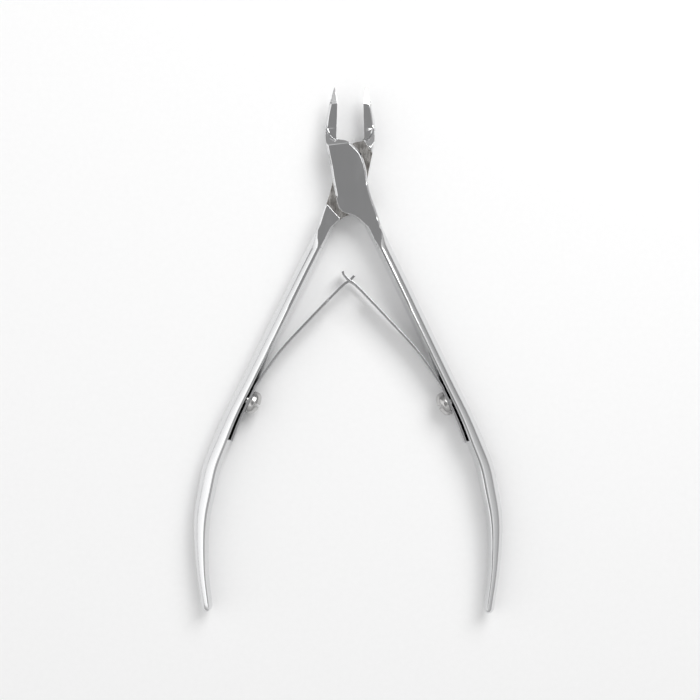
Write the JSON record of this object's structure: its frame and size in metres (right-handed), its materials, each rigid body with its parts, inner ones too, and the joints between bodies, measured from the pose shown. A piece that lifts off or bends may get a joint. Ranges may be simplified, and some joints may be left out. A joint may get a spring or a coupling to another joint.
{
  "type": "cuticle nipper",
  "caption": "Lap-jointed cuticle nipper with pointed jaws, curved tapering handles and two interlocked leaf springs that hold it open.",
  "frame": {"origin": "on the pivot axis, at the underside of the joint, where the nipper lies on a table", "axes": "+Z along the pivot axis, away from the table; +Y towards the jaws; +X towards the front lever's handle"},
  "size_m": [0.066, 0.1119, 0.0064],
  "materials": {
    "polished_steel": "polished stainless steel with fine buffing lines",
    "spring_steel": "rolled spring strip, lightly polished",
    "screw_steel": "turned and tumbled screw steel"
  },
  "bodies": {
    "front_lever": {"front_lever": "polished_steel", "pivot_rivet": "polished_steel", "spring_screw_right": "screw_steel"},
    "rear_lever": {"rear_lever": "polished_steel", "spring_screw_left": "screw_steel"},
    "spring_right": {"leaf_spring_right": "spring_steel"},
    "spring_left": {"leaf_spring_left": "spring_steel"}
  },
  "joints": [
    {"name": "pivot", "type": "hinge", "parent": "front_lever", "child": "rear_lever", "pos_m": [0, 0, 0], "axis": [0, 0, 1], "range_deg": [0, 19.1], "stiffness_Nm_per_rad": 0.6},
    {"name": "spring_right_bend", "type": "hinge", "parent": "front_lever", "child": "spring_right", "pos_m": [0.0193, -0.0435, 0.0032], "axis": [0, 0, -1], "range_deg": [0, 7], "deforming": ["leaf_spring_right"]},
    {"name": "spring_left_bend", "type": "hinge", "parent": "rear_lever", "child": "spring_left", "pos_m": [-0.0193, -0.0435, 0.0032], "axis": [0, 0, 1], "range_deg": [0, 7], "deforming": ["leaf_spring_left"]}
  ],
  "couplings": [
    {"joint": "spring_right_bend", "follows": "pivot", "ratio": 0.36},
    {"joint": "spring_left_bend", "follows": "pivot", "ratio": 0.36}
  ]
}
